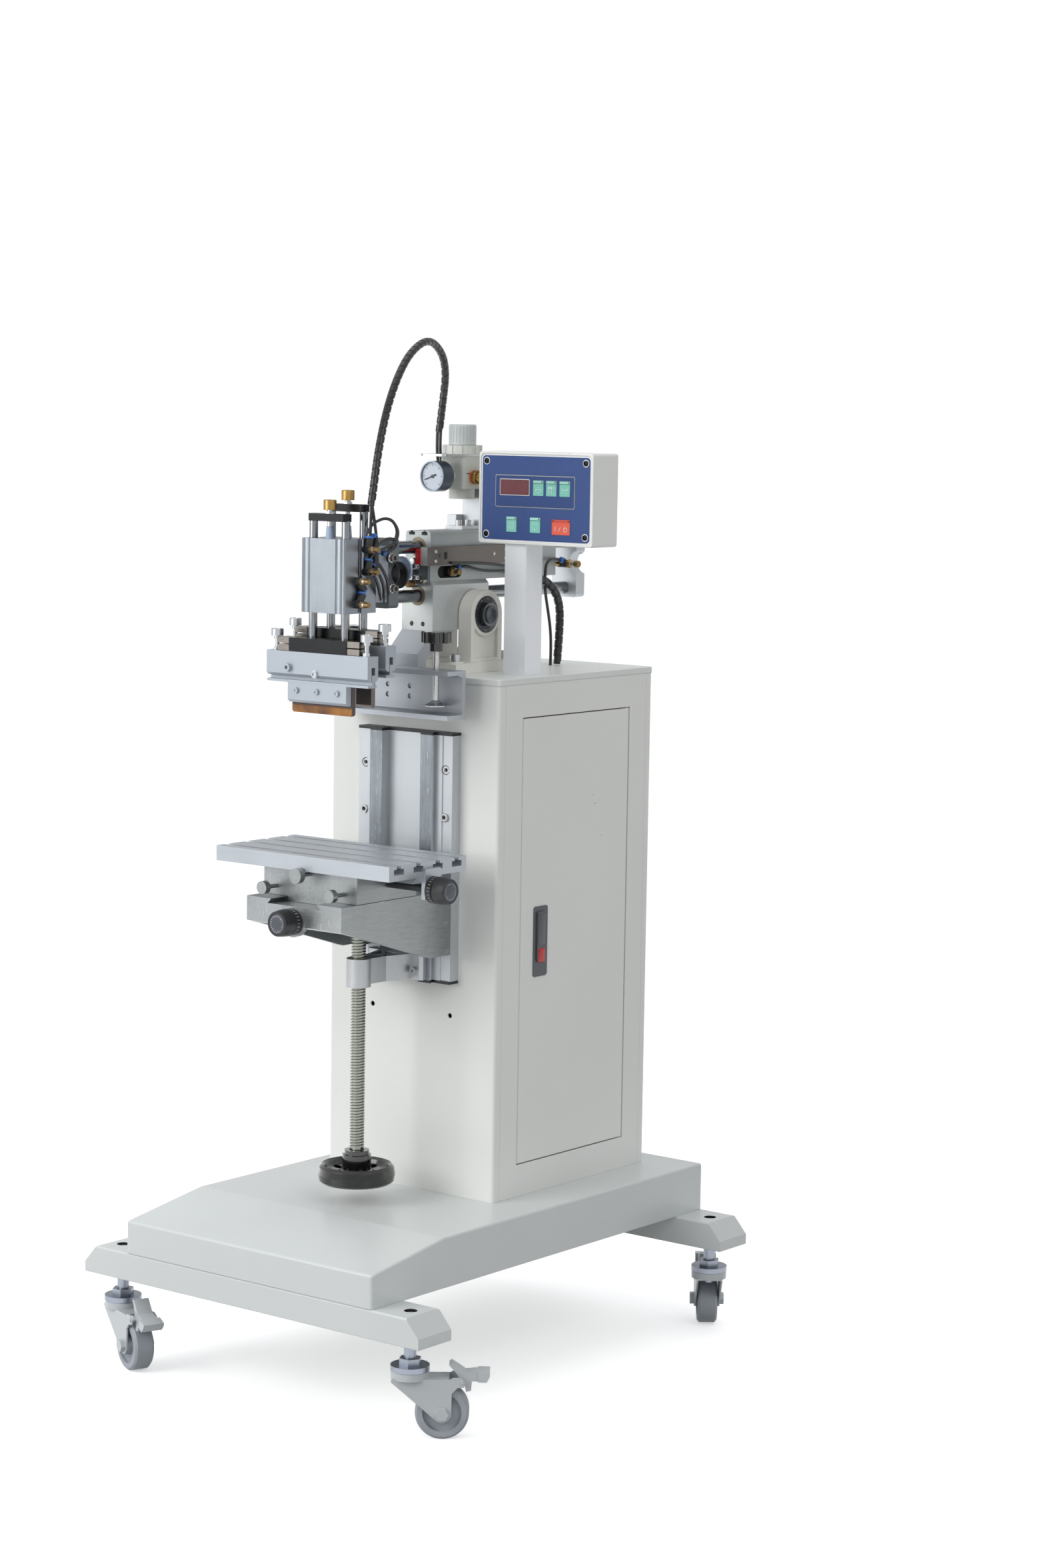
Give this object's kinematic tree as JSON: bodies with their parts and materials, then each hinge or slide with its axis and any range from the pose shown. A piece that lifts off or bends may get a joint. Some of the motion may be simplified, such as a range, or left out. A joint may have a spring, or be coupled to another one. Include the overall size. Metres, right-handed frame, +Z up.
{
  "type": "flatbed screen printing machine",
  "caption": "Pneumatic flatbed screen printer: cabinet on a caster base, T-slot table on a screw-lifted knee, tilting head with squeegee carriage and control box.",
  "frame": {"origin": "middle of the bounding box on the floor", "axes": "+Z up, the front faces -Y, +X is the operator's right"},
  "size_m": [0.6986, 0.8115, 1.4124],
  "materials": {
    "ivory_paint": "satin",
    "grey_white_paint": "satin",
    "cream_paint": "satin",
    "zinc_steel": "satin",
    "bright_steel": "satin",
    "satin_aluminium": "satin",
    "cast_aluminium": "matte",
    "milled_aluminium": "satin",
    "brushed_aluminium": "satin",
    "grey_anodised": "matte",
    "black_anodised": "satin",
    "chromed_steel": "gloss",
    "black_plastic": "satin",
    "black_phenolic": "gloss",
    "grey_plastic": "satin",
    "orange_polyurethane": "gloss",
    "grey_paint": "satin",
    "caster_tread": "matte",
    "black_hose": "satin"
  },
  "bodies": {
    "machine_frame": {"base_box": "ivory_paint", "front_foot_beam": "ivory_paint", "rear_foot_beam": "ivory_paint", "caster_stems": "zinc_steel", "cabinet_shell": "ivory_paint", "cabinet_door_frame": "ivory_paint", "cabinet_top_plate": "grey_white_paint", "column_rail": "satin_aluminium", "rail_end_caps": "black_plastic", "spindle_nut_bracket": "cast_aluminium", "pillow_blocks": "cream_paint", "control_post": "satin_aluminium", "control_box": "ivory_paint"},
    "door": {"cabinet_door": "ivory_paint"},
    "knee": {"knee": "milled_aluminium"},
    "lift_screw": {"spindle": "zinc_steel", "handwheel": "black_phenolic"},
    "saddle": {"saddle": "milled_aluminium"},
    "table": {"worktable": "satin_aluminium"},
    "front_knob": {"front_knob": "black_plastic"},
    "right_knob": {"right_knob": "black_plastic"},
    "head": {"head_upper_body": "satin_aluminium", "head_lower_body": "cream_paint", "stroke_end_cap": "satin_aluminium", "pivot_shaft": "bright_steel", "channel_bracket": "satin_aluminium", "screen_channel": "satin_aluminium", "sensor_rail": "bright_steel", "regulator_post": "satin_aluminium", "regulator_body": "grey_plastic", "gauge": "black_plastic", "head_hose": "black_hose", "rear_hose": "black_hose"},
    "regulator_knob": {"regulator_knob": "grey_plastic"},
    "clamp_left": {"clamp_screw_left": "black_plastic"},
    "clamp_right": {"clamp_screw_right": "black_plastic"},
    "carriage": {"guide_rods": "chromed_steel", "carriage_front_plate": "satin_aluminium", "carriage_rear_plate": "satin_aluminium", "piston_rod": "chromed_steel", "squeegee_cylinder": "brushed_aluminium", "flood_cylinder": "brushed_aluminium"},
    "squeegee": {"squeegee_slide": "black_anodised", "squeegee_holder": "grey_anodised", "squeegee_blade": "orange_polyurethane"},
    "flood": {"flood_slide": "black_anodised", "flood_holder": "grey_anodised", "flood_blade": "bright_steel"},
    "caster_fl": {"caster_fl_fork": "grey_paint"},
    "caster_fl_wheel": {"caster_fl_wheel": "caster_tread"},
    "caster_fl_brake": {"caster_fl_brake": "zinc_steel"},
    "caster_fr": {"caster_fr_fork": "grey_paint"},
    "caster_fr_wheel": {"caster_fr_wheel": "caster_tread"},
    "caster_fr_brake": {"caster_fr_brake": "zinc_steel"},
    "caster_bl": {"caster_bl_fork": "grey_paint"},
    "caster_bl_wheel": {"caster_bl_wheel": "caster_tread"},
    "caster_bl_brake": {"caster_bl_brake": "zinc_steel"},
    "caster_br": {"caster_br_fork": "grey_paint"},
    "caster_br_wheel": {"caster_br_wheel": "caster_tread"},
    "caster_br_brake": {"caster_br_brake": "zinc_steel"}
  },
  "joints": [
    {"name": "door_hinge", "type": "hinge", "parent": "machine_frame", "child": "door", "pos_m": [0.147, 0.2414, 0.5889], "axis": [0, 0, 1], "range_deg": [0, 100]},
    {"name": "knee_lift", "type": "slide", "parent": "machine_frame", "child": "knee", "axis": [0, 0, 1], "range_m": [-0.02, 0.13]},
    {"name": "lift_screw_turn", "type": "hinge", "parent": "knee", "child": "lift_screw", "pos_m": [0, -0.1626, 0.45], "axis": [0, 0, 1], "continuous": true},
    {"name": "saddle_slide", "type": "slide", "parent": "knee", "child": "saddle", "axis": [0, 1, 0], "range_m": [-0.015, 0.02]},
    {"name": "table_slide", "type": "slide", "parent": "saddle", "child": "table", "axis": [1, 0, 0], "range_m": [-0.04, 0.04]},
    {"name": "front_knob_turn", "type": "hinge", "parent": "knee", "child": "front_knob", "pos_m": [0, -0.3156, 0.6365], "axis": [0, -1, 0], "continuous": true},
    {"name": "right_knob_turn", "type": "hinge", "parent": "table", "child": "right_knob", "pos_m": [0.175, -0.1996, 0.6855], "axis": [1, 0, 0], "continuous": true},
    {"name": "head_tilt", "type": "hinge", "parent": "machine_frame", "child": "head", "pos_m": [0, 0.0416, 1.0338], "axis": [-1, 0, 0], "range_deg": [0, 15], "deforming": ["rear_hose"]},
    {"name": "regulator_knob_turn", "type": "hinge", "parent": "head", "child": "regulator_knob", "pos_m": [0, 0.0464, 1.28], "axis": [0, 0, 1], "range_deg": [-180, 180]},
    {"name": "clamp_left_screw", "type": "slide", "parent": "head", "child": "clamp_left", "axis": [0, 0, 1], "range_m": [-0.009, 0.025]},
    {"name": "clamp_right_screw", "type": "slide", "parent": "head", "child": "clamp_right", "axis": [0, 0, 1], "range_m": [-0.009, 0.025]},
    {"name": "carriage_stroke", "type": "slide", "parent": "head", "child": "carriage", "axis": [0, 1, 0], "range_m": [-0.04, 0.01], "deforming": ["head_hose"]},
    {"name": "squeegee_drop", "type": "slide", "parent": "carriage", "child": "squeegee", "axis": [0, 0, 1], "range_m": [-0.002, 0.018]},
    {"name": "flood_drop", "type": "slide", "parent": "carriage", "child": "flood", "axis": [0, 0, 1], "range_m": [-0.014, 0.004]},
    {"name": "caster_fl_swivel", "type": "hinge", "parent": "machine_frame", "child": "caster_fl", "pos_m": [-0.259, -0.3528, 0.09], "axis": [0, 0, 1], "continuous": true},
    {"name": "caster_fl_roll", "type": "hinge", "parent": "caster_fl", "child": "caster_fl_wheel", "pos_m": [-0.22, -0.3684, 0.035], "axis": [0.3714, 0.9285, 0], "continuous": true},
    {"name": "caster_fl_brake_press", "type": "hinge", "parent": "caster_fl", "child": "caster_fl_brake", "pos_m": [-0.19623, -0.3779, 0.0768], "axis": [0.3714, 0.9285, 0], "range_deg": [-18, 0]},
    {"name": "caster_fr_swivel", "type": "hinge", "parent": "machine_frame", "child": "caster_fr", "pos_m": [0.259, -0.3528, 0.09], "axis": [0, 0, 1], "continuous": true},
    {"name": "caster_fr_roll", "type": "hinge", "parent": "caster_fr", "child": "caster_fr_wheel", "pos_m": [0.29203, -0.32686, 0.035], "axis": [-0.6177, 0.7864, 0], "continuous": true},
    {"name": "caster_fr_brake_press", "type": "hinge", "parent": "caster_fr", "child": "caster_fr_brake", "pos_m": [0.31216, -0.31104, 0.0768], "axis": [-0.6177, 0.7864, 0], "range_deg": [0, 18]},
    {"name": "caster_bl_swivel", "type": "hinge", "parent": "machine_frame", "child": "caster_bl", "pos_m": [-0.259, 0.3155, 0.09], "axis": [0, 0, 1], "continuous": true},
    {"name": "caster_bl_roll", "type": "hinge", "parent": "caster_bl", "child": "caster_bl_wheel", "pos_m": [-0.29205, 0.34142, 0.035], "axis": [-0.617, -0.7869, 0], "continuous": true},
    {"name": "caster_bl_brake_press", "type": "hinge", "parent": "caster_bl", "child": "caster_bl_brake", "pos_m": [-0.3122, 0.35721, 0.0768], "axis": [-0.617, -0.7869, 0], "range_deg": [0, 18]},
    {"name": "caster_br_swivel", "type": "hinge", "parent": "machine_frame", "child": "caster_br", "pos_m": [0.259, 0.3155, 0.09], "axis": [0, 0, 1], "continuous": true},
    {"name": "caster_br_roll", "type": "hinge", "parent": "caster_br", "child": "caster_br_wheel", "pos_m": [0.23308, 0.34855, 0.035], "axis": [-0.7869, -0.617, 0], "continuous": true},
    {"name": "caster_br_brake_press", "type": "hinge", "parent": "caster_br", "child": "caster_br_brake", "pos_m": [0.21729, 0.3687, 0.0768], "axis": [-0.7869, -0.617, 0], "range_deg": [0, 18]}
  ]
}
